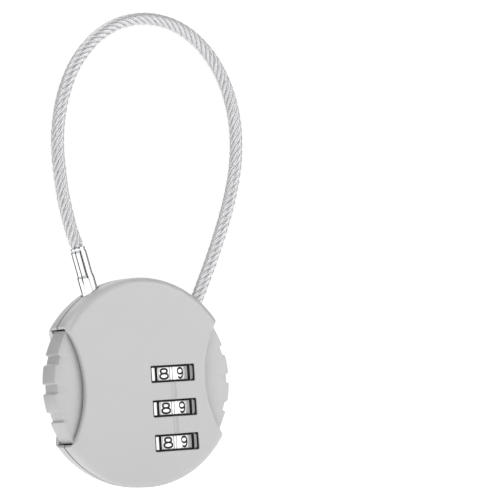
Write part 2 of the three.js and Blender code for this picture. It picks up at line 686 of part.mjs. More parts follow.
// The blind barrel that holds the ejector's plunger and spring under the pin.
function makeEjectorBarrel() {
  const barrel = solid(rod(SOCKET_R, BARREL_FLOOR - SLIDE_GAP - SOCKET_FLOOR, BARREL_TOP));
  return barrel.subtract(solid(rod(PIN_BORE_R, BARREL_FLOOR - SLIDE_GAP, BARREL_TOP + CUT)));
}

// ---- cable and its fixed end ----

function makeCable() {
  const inside = new THREE.Vector3(0, 0, -CABLE_INSET).applyMatrix4(cableFrame.matrix);
  const mouth = new THREE.Vector3(0, 0, FERRULE_H + SLIDE_GAP).applyMatrix4(pinFrame.matrix);
  const middle = LOOP.map(([x, z]) => new THREE.Vector3(x, PARTING, z));
  const route = new THREE.CatmullRomCurve3([mouth, ...middle, inside], false, 'centripetal');
  return bar(route, CABLE_R, CABLE_STEPS, 8);
}

const makeAnchor = () => rod(ANCHOR_R, ANCHOR_TOP - ANCHOR_H, ANCHOR_TOP);

// ---- rivets and reset button ----

function makeRivet() {
  return turned([
    [0, FACE_INNER], [RIVET_R, FACE_INNER], [RIVET_R, RIVET_TOP - RIVET_HEAD_H],
    [RIVET_HEAD_R, RIVET_TOP - RIVET_HEAD_H], [RIVET_HEAD_R, RIVET_TOP - RIVET_CHAMFER],
    [RIVET_HEAD_R - RIVET_CHAMFER, RIVET_TOP], [0, RIVET_TOP],
  ]);
}

// A button below the back's surface, with a collar that keeps it in.
function makeResetButton() {
  const collar = BACK_INNER - SLIDE_GAP;
  return turned([
    [0, collar - RESET_COLLAR], [RESET_R + RESET_COLLAR, collar - RESET_COLLAR],
    [RESET_R + RESET_COLLAR, collar], [RESET_R, collar], [RESET_R, BACK - RESET_SINK], [0, BACK - RESET_SINK],
  ]);
}

// ---- assembly ----

function addShells(lock) {
  lock.add(mesh('front_case', geometryOf(makeFrontCase()), SATIN_SILVER));
  lock.add(mesh('rear_case', geometryOf(makeRearCase()), SATIN_SILVER));
  RIVET_SPOTS.forEach(([x, z], i) => {
    const rivet = mesh(`case_rivet_${i + 1}`, makeRivet(), STEEL);
    rivet.position.set(x, 0, z);
    lock.add(rivet);
  });
}

function addButtons(lock) {
  lock.add(mesh('left_button', geometryOf(makeButton(-1, true)), SATIN_SILVER));
  lock.add(mesh('right_button', geometryOf(makeButton(1, false)), SATIN_SILVER));
  const leftFrom = -buttonEdgeX(LEFT_SPRING_Z + LEFT_SPRING_R) + SLIDE_GAP;
  const leftLength = LEFT_RIB_X - RUN_GAP - leftFrom;
  const left = mesh('left_button_spring', spring(LEFT_SPRING_R, leftLength), STEEL);
  left.position.set(leftFrom, PARTING, LEFT_SPRING_Z);
  left.rotation.y = Math.PI / 2;
  const rightFrom = RIGHT_RIB_X + RUN_GAP;
  const rightLength = buttonEdgeX(RIGHT_SPRING_Z - RIGHT_SPRING_R) - SLIDE_GAP - rightFrom;
  const right = mesh('right_button_spring', spring(RIGHT_SPRING_R, rightLength), STEEL);
  right.position.set(rightFrom, PARTING, RIGHT_SPRING_Z);
  right.rotation.y = Math.PI / 2;
  lock.add(left, right);
}

function addDials(lock) {
  const dial = geometryOf(makeDial());
  const sleeve = geometryOf(makeSleeve());
  for (let i = 0; i < DIAL_COUNT; i += 1) {
    const at = new THREE.Vector3(DIAL_X, DIAL_Y, dialZ(i));
    const wheel = mesh(`dial_${i + 1}`, dial, WHITE_PLASTIC);
    const clutch = mesh(`clutch_sleeve_${i + 1}`, sleeve, BRASS);
    wheel.position.copy(at);
    clutch.position.copy(at);
    lock.add(wheel, clutch);
  }
  lock.add(mesh('dial_carrier', geometryOf(makeDialCarrier()), BLACK_PLASTIC));
  lock.add(mesh('dial_leaf_spring', geometryOf(makeLeafSpring()), STEEL));
}

function addSpindle(lock) {
  const spindle = mesh('spindle', geometryOf(makeSpindle()), STEEL);
  spindle.position.set(DIAL_X, DIAL_Y, 0);
  const length = SPINDLE_SPRING_TOP - HEAD_TOP - RUN_GAP;
  const coil = mesh('spindle_spring', spring(SPINDLE_SPRING_R, length), STEEL);
  coil.position.set(DIAL_X, DIAL_Y, HEAD_TOP + RUN_GAP);
  lock.add(spindle, coil);
  lock.add(mesh('spindle_wedge', makeWedge(), BRASS));
}

function addPinAndLatch(lock) {
  const plunger = rod(PIN_R, PLUNGER_TOP - PLUNGER_H, PLUNGER_TOP);
  const springHeight = EJECTOR_STROKE - 2 * RUN_GAP;
  const ejectorSpring = spring(EJECTOR_SPRING_R, springHeight).translate(0, 0, BARREL_FLOOR + RUN_GAP);
  pinFrame.add(mesh('locking_pin', makePin(), STEEL));
  pinFrame.add(mesh('ferrule', makeFerrule(), CHROME));
  pinFrame.add(mesh('latch_clip', makeLatchClip(), STEEL));
  pinFrame.add(mesh('pin_socket', geometryOf(makeSocket()), BRASS));
  pinFrame.add(mesh('ejector_barrel', geometryOf(makeEjectorBarrel()), BRASS));
  pinFrame.add(mesh('ejector_plunger', plunger, WHITE_PLASTIC));
  pinFrame.add(mesh('ejector_spring', ejectorSpring, STEEL));
  lock.add(pinFrame);
  lock.add(mesh('clip_spreader', makeSpreader(), BRASS));
}

function addCable(lock) {
  cableFrame.add(mesh('cable_anchor', makeAnchor(), STEEL));
  lock.add(cableFrame);
  lock.add(mesh('cable', makeCable(), SHEATHED_CABLE));
}

function addReset(lock) {
  const button = mesh('reset_button', makeResetButton(), BLACK_PLASTIC);
  button.position.set(RESET_X, 0, RESET_Z);
  const from = FACE_INNER + RUN_GAP;
  const to = BACK_INNER - SLIDE_GAP - RESET_COLLAR - RUN_GAP;
  const coil = mesh('reset_spring', spring(RESET_SPRING_R, to - from), STEEL);
  coil.position.set(RESET_X, to, RESET_Z);
  coil.rotation.x = Math.PI / 2;
  lock.add(button, coil);
}

const lock = new THREE.Group();
[addShells, addButtons, addDials, addSpindle, addPinAndLatch, addCable, addReset].forEach((add) => add(lock));
lock.position.copy(HANG_POINT).negate();

const cableLock = new THREE.Group();
cableLock.add(lock);

export default cableLock;
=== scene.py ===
# %% [markdown]
# # A round combination lock on a loop of cable
# The lock is a disc about 42 mm across. Three number dials show in its face,
# and a ridged button sits in a round bite on each side. A loop of steel cable in
# a clear sheath holds two zip pulls: one end stays in the body, and the other
# ends in a chrome ferrule whose pin slides out when the code is right.
# Every shape below is a formula worked out on whole numpy arrays, so that a
# learner can change one number and see the form follow.

import math

import bpy
import numpy as np
from mathutils import Matrix, Vector


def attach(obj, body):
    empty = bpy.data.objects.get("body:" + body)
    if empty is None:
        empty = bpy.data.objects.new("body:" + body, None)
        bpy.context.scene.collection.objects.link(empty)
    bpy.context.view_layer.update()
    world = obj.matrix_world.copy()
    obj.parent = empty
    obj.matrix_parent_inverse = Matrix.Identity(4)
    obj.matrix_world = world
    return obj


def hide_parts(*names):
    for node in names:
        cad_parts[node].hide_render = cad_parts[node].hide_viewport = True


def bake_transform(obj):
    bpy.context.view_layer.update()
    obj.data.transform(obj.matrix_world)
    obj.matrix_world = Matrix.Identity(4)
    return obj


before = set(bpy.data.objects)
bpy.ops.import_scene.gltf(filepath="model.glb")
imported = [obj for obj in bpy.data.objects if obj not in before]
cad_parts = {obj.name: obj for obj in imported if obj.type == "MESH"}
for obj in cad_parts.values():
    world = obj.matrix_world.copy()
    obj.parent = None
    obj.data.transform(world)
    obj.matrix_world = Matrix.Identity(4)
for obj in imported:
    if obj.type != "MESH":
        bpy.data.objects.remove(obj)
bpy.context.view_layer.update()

# %% [markdown]
# ## Sizes
# The maker thinks in millimetres from the middle of the round body, with the
# face at the negative end of y. The frame is in metres and has its origin where
# the zip pulls hang, under the crown of the cable. One helper goes from the one
# to the other, so all sizes below stay in millimetres.

# %% Sizes of the body
MM = 0.001
BODY_R = 21.0
FRONT, BACK = -7.5, 7.5
PARTING = -3.55
PARTING_GAP = 0.36
# Inner and outer radius of the black band in the parting gap, painted shadow.
SHADE_BAND_IN, SHADE_BAND_R = 20.02, BODY_R - 0.04
BUTTON_TRAVEL = 1.2
FRONT_ROUND = 1.75
BACK_ROUND = 10.3
WALL = 1.4
FACE_WALL = 1.1
BITE_X, BITE_R = 35.01, 21.33
BUTTON_FRONT, BUTTON_BACK = -6.1, -0.5
DIAL_X, DIAL_Y, DIAL_R = 6.15, -0.9, 6.25
DIAL_ZS = (1.45, -5.45, -12.35)
WINDOW_W, WINDOW_H = 9.96, 3.44
HANG = np.array([5.0, PARTING, 71.7])


def placed(points):
    """Body-centred millimetres to metres in the frame: take the hang point away, then scale."""
    return (np.asarray(points, float) - HANG) * MM


# %% [markdown]
# ## The camera
# The lock is seen from its left, turned 28.5 degrees, from very slightly below,
# and it leans a little to the left in the view. A long lens from 0.7 m keeps the
# disc nearly free of perspective. The aim is moved right and up from the disc's
# middle, so that the lock stands in the left half of the picture.

# %% Camera
TURN, RISE, LEAN = (math.radians(a) for a in (-28.5, -2.05, 3.6))
LENS = 251.2
DISTANCE = 0.7
AIM_RIGHT, AIM_UP = 22.82, 26.64
EYE_UP = 23.0

back = Vector((math.sin(TURN) * math.cos(RISE), -math.cos(TURN) * math.cos(RISE), math.sin(RISE)))
level_right = Vector((math.cos(TURN), math.sin(TURN), 0))
level_up = back.cross(level_right)
right = level_right * math.cos(LEAN) - level_up * math.sin(LEAN)
up = level_right * math.sin(LEAN) + level_up * math.cos(LEAN)
disc_middle = Vector((-0.005, 0.00039, -0.0717))
eye = disc_middle + up * EYE_UP * MM + back * DISTANCE
aim = disc_middle + right * AIM_RIGHT * MM + up * AIM_UP * MM

camera = bpy.data.objects.new("camera", bpy.data.cameras.new("camera"))
bpy.context.scene.collection.objects.link(camera)
camera.data.lens = LENS
camera.data.sensor_width = 36
camera.data.clip_start = 0.01
look = (eye - aim).normalized()
side = up.cross(look).normalized()
camera.matrix_world = Matrix.Translation(eye) @ Matrix(
    (side, look.cross(side), look)).transposed().to_4x4()
bpy.context.scene.camera = camera
print("camera at", [round(c, 4) for c in eye])

# %% [markdown]
# ## Rings make solids
# Nearly every piece here is a row of closed rings: a turned rim, a tube along a
# path, a button swept through its thickness. So one function joins rings with
# quads, closes both ends with a face, and turns the faces outwards by the sign
# of the volume that they enclose. Another one makes the mesh and shades it
# smooth, except across corners sharper than a given angle.


# %% Rings, solids and pieces
def ring_solid(rings):
    """Quads between neighbouring rings of an (m, n, 3) array, and one face on each end."""
    m, n, _ = rings.shape
    at = np.arange(m * n).reshape(m, n)
    nxt = np.roll(at, -1, axis=1)
    quads = np.stack([at[:-1], nxt[:-1], nxt[1:], at[1:]], axis=-1).reshape(-1, 4)
    points = rings.reshape(-1, 3)
    p = points[quads]
    middle = points.mean(axis=0)
    volume = sum(
        np.einsum("ij,ij->i", p[:, 0] - middle, np.cross(p[:, a] - middle, p[:, b] - middle)).sum()
        for a, b in ((1, 2), (2, 3)))
    ends = [at[0][::-1], at[-1]]
    for end in ends:
        e = points[end] - middle
        volume += np.einsum("ij,ij->i", np.tile(e[0], (n - 2, 1)), np.cross(e[1:-1], e[2:])).sum()
    faces = quads.tolist() + [end.tolist() for end in ends]
    return points, [face[::-1] for face in faces] if volume < 0 else faces


def mesh_of(name, parts):
    """One mesh from several closed solids, each a pair of points and faces."""
    starts = np.cumsum([0] + [len(points) for points, _ in parts])
    points = np.concatenate([points for points, _ in parts])
    faces = [[i + int(start) for i in face]
             for start, (_, made) in zip(starts, parts) for face in made]
    mesh = bpy.data.meshes.new(name)
    mesh.from_pydata(placed(points), [], faces)
    mesh.update()
    return mesh


def smoothed(mesh, corner=35):
    """Smooth shading, with a sharp edge wherever two faces meet at more than the corner angle."""
    mesh.polygons.foreach_set("use_smooth", np.ones(len(mesh.polygons), bool))
    mesh.set_sharp_from_angle(angle=math.radians(corner))


def piece(name, parts, corner=35):
    """An object at the origin, unturned, with its place in its points."""
    mesh = mesh_of(name, parts)
    smoothed(mesh, corner)
    made = bpy.data.objects.new(name, mesh)
    bpy.context.scene.collection.objects.link(made)
    print(name, len(mesh.polygons), "faces")
    return made


def circle(n):
    """The cosine and sine of n angles, evenly round."""
    a = 2 * np.pi * np.arange(n) / n
    return np.cos(a), np.sin(a)


def turned(profile, x=0.0, z=0.0, n=256):
    """Rings round an axis along y: each (radius, y) of the profile is one circle about (x, z)."""
    r, y = np.array(profile, float).T
    c, s = circle(n)
    rings = np.stack([x + np.outer(r, c), np.repeat(y[:, None], n, 1), z + np.outer(r, s)], axis=-1)
    return ring_solid(rings)


def quarter(r0, y0, radius, start, stop, n=8):
    """(radius, y) points on an arc about (r0, y0), angles in degrees from outwards."""
    a = np.radians(np.linspace(start, stop, n + 1))
    return np.stack([r0 + radius * np.cos(a), y0 + radius * np.sin(a)], axis=1).tolist()


# %% [markdown]
# ## The cable
# The real cable is a wire rope of seven strands in a clear sheath 3 mm thick. It
# is stiff, so it stands up in a loop of its own: up out of the ferrule, over the
# crown and down into the body's right shoulder. All of it can be seen, so the
# loop's length is the cable's length. Its middle line is a smooth curve through
# a few measured points. A centripetal curve is used because it never overshoots.

# %% The middle line
PIN_ANGLE, PIN_LEAN = math.radians(-26.7), math.radians(-13.7)
CABLE_ANGLE, CABLE_LEAN = math.radians(43.4), math.radians(26.6)
FERRULE_H = 9.1
CABLE_R = 1.5
ROUTE = [
    [-12.7, 31.1], [-13.6, 35.2], [-14.2, 39.2], [-14.5, 43.2],
    [-14.6, 47.2], [-14.3, 51.2], [-13.5, 55.2], [-12.2, 59.1], [-10.3, 63.0],
    [-7.6, 66.6], [-4.2, 69.7], [0.2, 72.1], [5.0, 73.2], [9.8, 73.0],
    [14.3, 71.6], [18.2, 69.1], [21.5, 65.6], [24.0, 61.4], [25.6, 56.8],
    [26.4, 52.0], [26.4, 47.2], [25.8, 42.6], [24.6, 38.0], [23.0, 33.4],
    [21.1, 28.8], [18.9, 24.0], [16.7, 19.6],
]


def on_rim(angle, lean, along):
    """A point on a leaning axis that crosses the rim: out from the rim by along."""
    return [BODY_R * math.sin(angle) + along * math.sin(lean),
            BODY_R * math.cos(angle) + along * math.cos(lean)]


def smooth_line(knots, steps=40):
    """A centripetal curve: between two knots a cubic whose end slopes come from the knots
    on both sides, with each span timed by the square root of its length."""
    k = np.array(knots, float)
    k = np.concatenate([[2 * k[0] - k[1]], k, [2 * k[-1] - k[-2]]])
    span = np.sqrt(np.linalg.norm(np.diff(k, axis=0), axis=1))[:, None]
    slope = np.diff(k, axis=0) / span
    across = (k[2:] - k[:-2]) / (span[1:] + span[:-1])
    tangent = slope[:-1] - across + slope[1:]
    p0, p1, t0, t1 = k[1:-2], k[2:-1], tangent[:-1] * span[1:-1], tangent[1:] * span[1:-1]
    t = np.linspace(0, 1, steps, endpoint=False)[None, :, None]
    p0, p1, t0, t1 = (v[:, None, :] for v in (p0, p1, t0, t1))
    curve = (p0 + t0 * t + (-3 * p0 + 3 * p1 - 2 * t0 - t1) * t**2
             + (2 * p0 - 2 * p1 + t0 + t1) * t**3)
    return np.concatenate([curve.reshape(-1, k.shape[1]), k[-2:-1]])


def evenly(line, step):
    """The same line with its points evenly apart, by its length so far."""
    run = np.concatenate([[0], np.cumsum(np.linalg.norm(np.diff(line, axis=0), axis=1))])
    marks = np.linspace(0, run[-1], int(round(run[-1] / step)) + 1)
    return np.stack([np.interp(marks, run, line[:, i]) for i in range(line.shape[1])], axis=1), marks


ends = [on_rim(PIN_ANGLE, PIN_LEAN, FERRULE_H + 0.3), on_rim(CABLE_ANGLE, CABLE_LEAN, -2.2)]
flat_line, run = evenly(smooth_line([ends[0], *ROUTE, ends[1]]), 0.35)
middle_line = np.stack([flat_line[:, 0], np.full(len(flat_line), PARTING), flat_line[:, 1]], axis=1)
print("cable", round(run[-1], 1), "mm,", len(middle_line), "points")

# %% [markdown]
# ## Strands and sheath
# Each strand winds round the middle line as a helix, and its own section has six
# small lobes, the wires in it, wound the other way, as in a regular-lay rope. The
# sheath is a plain tube. Both are rings carried along a line: at each point the
# ring stands across the line, on the two directions that are square to it.


# %% Rope
def carried(line, radii, first, second):
    """Rings along a line: centre + radius * (cos a * first + sin a * second)."""
    n = radii.shape[1]
    c, s = circle(n)
    return (line[:, None, :] + radii[:, :, None]
            * (c[None, :, None] * first[:, None, :] + s[None, :, None] * second[:, None, :]))


def unit(v):
    return v / np.linalg.norm(v, axis=-1, keepdims=True)


ROPE_PITCH = 9.0
STRAND_R, STRAND_OUT = 0.43, 0.85
forward = unit(np.gradient(middle_line, axis=0))
across = np.tile([0.0, 1.0, 0.0], (len(middle_line), 1))
outward = np.cross(forward, across)


def strand(k):
    """Strand k of six: a helix of radius STRAND_OUT about the middle line, one turn in each
    ROPE_PITCH, with a six-lobed section that turns the other way."""
    a = (2 * np.pi * (k / 6 - run / ROPE_PITCH))[:, None]
    out = np.cos(a) * outward + np.sin(a) * across
    line = middle_line + STRAND_OUT * out
    along = unit(np.gradient(line, axis=0))
    sideways = unit(np.cross(along, out))
    lobe = 2 * np.pi * np.arange(18)[None, :] / 18
    radii = STRAND_R * (1 + 0.07 * np.cos(6 * (lobe + 2 * np.pi * run[:, None] / 5)))
    return ring_solid(carried(line, radii, unit(np.cross(sideways, along)), sideways))


core = ring_solid(carried(middle_line, np.full((len(run), 12), STRAND_R), outward, across))
rope = piece("cable_rope", [strand(k) for k in range(6)] + [core], corner=80)
sheath = piece("cable_sheath", [ring_solid(
    carried(middle_line, np.full((len(run), 32), CABLE_R), outward, across))], corner=60)
for part in (rope, sheath):
    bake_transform(part)
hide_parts("cable")

# %% [markdown]
# ## Chrome ferrule
# The ferrule is a crimped tube that holds the cable's free end. It is widest
# where it enters the body, steps in, and ends in a small rolled lip. It is
# turned on a lathe in real life, and the same is done here: a list of radius and
# height, carried round the leaning axis of the pin.


# %% Ferrule
def turned_on_rim(profile, angle, lean, n=96):
    """Rings round an axis that crosses the rim: each (radius, height) is a circle across it."""
    r, h = np.array(profile, float).T
    foot = np.array([BODY_R * math.sin(angle), PARTING, BODY_R * math.cos(angle)])
    axis = np.array([math.sin(lean), 0.0, math.cos(lean)])
    line = foot + np.outer(h, axis)
    first = np.tile([math.cos(lean), 0.0, -math.sin(lean)], (len(h), 1))
    second = np.tile([0.0, 1.0, 0.0], (len(h), 1))
    return ring_solid(carried(line, np.repeat(r[:, None], n, 1), first, second))


FERRULE_R = 1.75
ferrule_profile = (
    [[1.5, -1.0], [FERRULE_R, -0.8], [FERRULE_R, 2.75], [1.74, 2.9]]
    + [[1.60, 3.35], [1.575, 3.5], [1.57, 8.0], [1.55, 8.15], [1.46, 8.42], [1.44, 8.5]]
    + [[1.40, 8.52], [1.40, 8.58], [1.46, 8.62], [1.48, 8.72], [1.48, 8.95], [1.44, 9.06], [1.34, 9.1]]
    + [[1.2, 9.1], [1.15, 9.0]])
ferrule = piece("ferrule_shell", [turned_on_rim(ferrule_profile, PIN_ANGLE, PIN_LEAN)], corner=30)
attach(ferrule, "cable_end")
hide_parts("ferrule")

print("ferrule", round(FERRULE_H, 2), "mm out of the rim")

# %% [markdown]
# ## Cutting
# The two shells are turned cups with windows, bites and holes cut through them.
# A cutter is a closed solid too, and a Boolean takes it away. The result is made
# a plain mesh at once, so that no cutter stays in the scene. Rounded lips come
# from the cutters: they widen by a small round where they leave the surface.


# %% Cutters
def cut(obj, parts, operation="DIFFERENCE"):
    """Takes closed solids away from a piece, or adds them, and keeps the result as its mesh."""
    tool = bpy.data.objects.new("tool", mesh_of("tool", parts))
    bpy.context.scene.collection.objects.link(tool)
    step = obj.modifiers.new("cut", "BOOLEAN")
    step.object, step.operation, step.solver = tool, operation, "EXACT"
    bpy.context.view_layer.update()
    made = bpy.data.meshes.new_from_object(obj.evaluated_get(bpy.context.evaluated_depsgraph_get()))
    obj.modifiers.clear()
    old, obj.data = obj.data, made
    made.name = obj.name
    bpy.data.meshes.remove(old)
    bpy.data.objects.remove(tool)


def lip(size, edge, n=5):
    """How far a cutter widens within a lip's radius of the surface, and at which depth."""
    t = np.linspace(0, 1, n)
    return [[edge * (1 - math.sqrt(1 - (1 - d) ** 2)) + size, edge * d] for d in t]


BITE_LIP = 0.45
BITE_FLARE = 0.26
BEHIND_BUTTON = 0.3


def bite_cutters(grown=0.0, front=FRONT - 1, lipped=True):
    """Round cutters about (+-BITE_X, 0): wider by a quarter round where they leave the face,
    and by BITE_FLARE in each millimetre behind the button."""
    rounds = [[r, FRONT + d] for r, d in lip(BITE_R + grown, BITE_LIP)] if lipped else []
    start = [[BITE_R + grown + (BITE_LIP if lipped else 0), front]]
    flare_start = BUTTON_BACK + BEHIND_BUTTON
    behind = [[BITE_R + grown, flare_start], [BITE_R + grown + BITE_FLARE * 9, flare_start + 9]]
    return [turned(start + rounds + behind, x=x, n=512) for x in (-BITE_X, BITE_X)]


TIP_ROOM_X, TIP_ROOM_HALF_W, TIP_ROOM_HALF_H = 16.2, 1.3, 11.47


def button_room():
    """Room for the tips of the buttons between the shells' own tips."""
    depths = [(0, BUTTON_FRONT - 0.25), (0, BUTTON_BACK + BEHIND_BUTTON)]
    return [block(TIP_ROOM_HALF_W, TIP_ROOM_HALF_H, 0.1, depths, x, 0.0) for x in (-TIP_ROOM_X, TIP_ROOM_X)]


def rim_hole(radius, angle, lean, deep):
    """A straight hole along an axis that crosses the rim, from outside to this deep."""
    return turned_on_rim([[radius, -deep], [radius, 10]], angle, lean, 64)


rim_holes = [rim_hole(2.0, PIN_ANGLE, PIN_LEAN, 3.8), rim_hole(1.75, CABLE_ANGLE, CABLE_LEAN, 5.0)]


def rounded_rectangle(half_w, half_h, radius, n=6):
    """Four quarter circles, one on each corner, joined into one loop of x and z."""
    a = np.radians(np.linspace(0, 90, n))[None, :] + np.radians([0, 90, 180, 270])[:, None]
    sx, sz = np.array([1, -1, -1, 1])[:, None], np.array([1, 1, -1, -1])[:, None]
    x = sx * (half_w - radius) + radius * np.cos(a)
    z = sz * (half_h - radius) + radius * np.sin(a)
    return np.stack([x.ravel(), z.ravel()], axis=1)


def block(half_w, half_h, radius, depths, x=0.0, z=0.0, n=6):
    """Rounded rectangles one behind another: each row is (how much wider, y)."""
    rings = [np.insert(rounded_rectangle(half_w + w, half_h + w, radius + w, n) + [x, z], 1, y, axis=1)
             for w, y in depths]
    return ring_solid(np.stack(rings))


# %% [markdown]
# ## Front shell
# A shallow cast cup with a flat face, a rounded edge and a rim that ends at the
# parting line, with a small tongue behind it that hides the gap. The face has
# three windows, a shallow index groove between them, and the two bites.

# %% Front shell
half_gap = PARTING_GAP / 2
front_profile = (
    [[BODY_R - FRONT_ROUND, FRONT]]
    + quarter(BODY_R - FRONT_ROUND, FRONT + FRONT_ROUND, FRONT_ROUND, -80, 0, 9)
    + [[BODY_R, PARTING - half_gap - 0.08], [BODY_R - 0.08, PARTING - half_gap]]
    + [[20.0, PARTING - half_gap], [20.0, PARTING + 0.1], [19.6, PARTING + 0.1]]
    + [[19.6, FRONT + FACE_WALL + 0.4], [19.2, FRONT + FACE_WALL]])
front_shell = piece("front_shell", [turned(front_profile)])
WINDOW_LIP = 0.14
window_lip = [[w, FRONT + d] for w, d in lip(0, WINDOW_LIP, 4)]
window_depths = [[WINDOW_LIP, FRONT - 0.5]] + window_lip + [[0, PARTING]]
cut(front_shell, [block(WINDOW_W / 2, WINDOW_H / 2, 0.25, window_depths, DIAL_X, z) for z in DIAL_ZS])


def upright_bar(x, y, radius, low, high, n):
    """A round bar along z, between two heights."""
    c, s = circle(n)
    return ring_solid(np.stack([
        np.stack([x + radius * c, y + radius * s, np.full(n, z)], axis=1) for z in (low, high)]))


GROOVE_BAR_R, INDEX_DEPTH = 0.75, 0.3


def index_groove(low, high):
    """A bar lying in the face, so that the groove is 1.2 wide at the surface."""
    return upright_bar(DIAL_X, FRONT - GROOVE_BAR_R + INDEX_DEPTH, GROOVE_BAR_R, low, high, 64)


cut(front_shell, [index_groove(low, high) for high, low in zip(DIAL_ZS, DIAL_ZS[1:])])
cut(front_shell, bite_cutters())
cut(front_shell, button_room())
cut(front_shell, rim_holes)

# A thin black band fills the parting gap, almost flush, with the same bites and holes: painted shadow, so
# that the gap reads dark.
shade_band_disc = turned([[SHADE_BAND_R, PARTING - half_gap], [SHADE_BAND_R, PARTING + half_gap]])
shade_band = piece("parting_shade_band", [shade_band_disc], corner=30)
cut(shade_band, [turned([[SHADE_BAND_IN, PARTING - 1], [SHADE_BAND_IN, PARTING + 1]])])
cut(shade_band, bite_cutters())
cut(shade_band, button_room())
cut(shade_band, rim_holes)
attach(shade_band, "case")

# %% [markdown]
# ## Rear shell
# The back is a deep cup with a wide round edge, like a river stone. Behind each
# button the cup is closed by a wall that follows the bite. Its room is therefore
# cut as a solid of its own, with the two walls left out. Three bosses carry the
# sunk rivets, and a small hole leads to the code-reset button.

# %% Rear shell
low = PARTING + half_gap


def cup(inset, bottom):
    """The rear shell's outline, drawn inwards by an inset: straight rim, wide round, flat middle."""
    round_edge = quarter(BODY_R - BACK_ROUND, BACK - BACK_ROUND, BACK_ROUND - inset, 0, 90, 24)
    return [[BODY_R - inset - (0.08 if inset == 0 else 0), bottom],
            [BODY_R - inset, bottom + 0.08]] + round_edge


rear_shell = piece("rear_shell", [turned(cup(0, low))])
room = piece("room", [turned(cup(WALL, low - 1))])
cut(room, bite_cutters(WALL, BUTTON_BACK + 0.29, lipped=False))
step = rear_shell.modifiers.new("room", "BOOLEAN")
step.object, step.operation, step.solver = room, "DIFFERENCE", "EXACT"
bpy.context.view_layer.update()
hollow = bpy.data.meshes.new_from_object(rear_shell.evaluated_get(bpy.context.evaluated_depsgraph_get()))
rear_shell.modifiers.clear()
rear_shell.data = hollow
bpy.data.objects.remove(room)

RIVETS = ((-0.5, 10.5), (-9.6, -7.0), (-4.2, -11.2))
RESET = (-4.6, -6.8)
RIVET_TOP = BACK - 0.7
POCKET_HALF_H = 1.72
cut(rear_shell, [turned([[1.9, 1.0], [1.9, 6.6]], x, z, 48) for x, z in RIVETS], "UNION")


def dial_pocket(z):
    """A round bar along z, a little larger than a dial, so that the dial runs clear."""
    return upright_bar(DIAL_X, DIAL_Y, DIAL_R + 0.3, z - POCKET_HALF_H, z + POCKET_HALF_H, 96)


cut(rear_shell, [dial_pocket(z) for z in DIAL_ZS])
cut(rear_shell, bite_cutters())
cut(rear_shell, button_room())
cut(rear_shell, rim_holes)
rivet_sink = [[1.6, RIVET_TOP - 0.7], [1.6, BACK - 0.12], [1.9, BACK + 0.2]]
cut(rear_shell, [turned(rivet_sink, x, z, 64) for x, z in RIVETS]
    + [turned([[1.4, 0.0], [1.4, BACK - 0.12], [1.7, BACK + 0.2]], *RESET, 64)])
for shell, node in ((front_shell, "front_case"), (rear_shell, "rear_case")):
    smoothed(shell.data, 30)
    shell.modifiers.new("even_shade", "WEIGHTED_NORMAL").keep_sharp = True
    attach(shell, "case")
    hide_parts(node)
    print(shell.name, len(shell.data.polygons), "faces")

# %% [markdown]
# ## Rivets and reset button
# Three pan-headed rivets hold the shells together from behind, and a small black
# plunger lets the owner set a new code. Both are turned, each with a dimple.

# %% Rivets and reset button
def rivet(x, z):
    """A low domed head with a round dimple over a plain shank, turned about y."""
    return turned([[0.8, -6.4], [0.8, RIVET_TOP - 0.6], [1.5, RIVET_TOP - 0.6], [1.5, RIVET_TOP - 0.3],
                   [1.35, RIVET_TOP - 0.1], [0.95, RIVET_TOP], [0.7, RIVET_TOP], [0.55, RIVET_TOP - 0.12],
                   [0.3, RIVET_TOP - 0.17]], x, z, 64)


for number, (x, z) in enumerate(RIVETS, 1):
    head = piece(f"rivet_{number}", [rivet(x, z)], corner=30)
    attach(head, "case")
    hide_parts(f"case_rivet_{number}")
plunger_profile = [[1.9, 5.0], [1.9, 5.8], [1.1, 5.8], [1.1, 6.88],
                   [1.0, 7.0], [0.6, 7.0], [0.45, 6.9], [0.2, 6.85]]
reset = piece("reset_plunger", [turned(plunger_profile, *RESET, 48)])
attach(reset, "reset_push")
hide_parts("reset_button")

# %% [markdown]
# ## Side buttons
# Each button is a crescent between an arc just inside its bite and a ridged outer
# edge that almost completes the disc. Three finger grooves cross the edge. For
# each height z the formula gives an inner and an outer x, so the outline can be
# drawn again a little smaller near the front and back, which rounds its edges.

# %% Buttons
BUTTON_R = 19.8
BUTTON_HALF_H = 11.15
GROOVES = (-5.85, -0.2, 5.45)
GROOVE_DEPTH = 0.62


def button_outline(inset, n=280):
    """Outer x: the arc of BUTTON_R less the grooves, each a flat floor with eased sides.
    Inner x: the bite's arc, 0.63 inside it. Both at n heights, as one loop."""
    z = np.linspace(-1, 1, n) * (BUTTON_HALF_H - inset)
    away = np.abs(z[:, None] - np.array(GROOVES)).min(axis=1)
    t = np.clip((1.12 - away) / 0.42, 0, 1)
    depth = GROOVE_DEPTH * t * t * (3 - 2 * t)
    outer = np.sqrt((BUTTON_R - inset - depth) ** 2 - z**2)
    inner = BITE_X - np.sqrt((BITE_R + 0.63 - inset) ** 2 - z**2)
    inner = np.minimum(inner, outer - 0.02)
    return np.stack([outer, z], axis=1), np.stack([inner, z], axis=1)


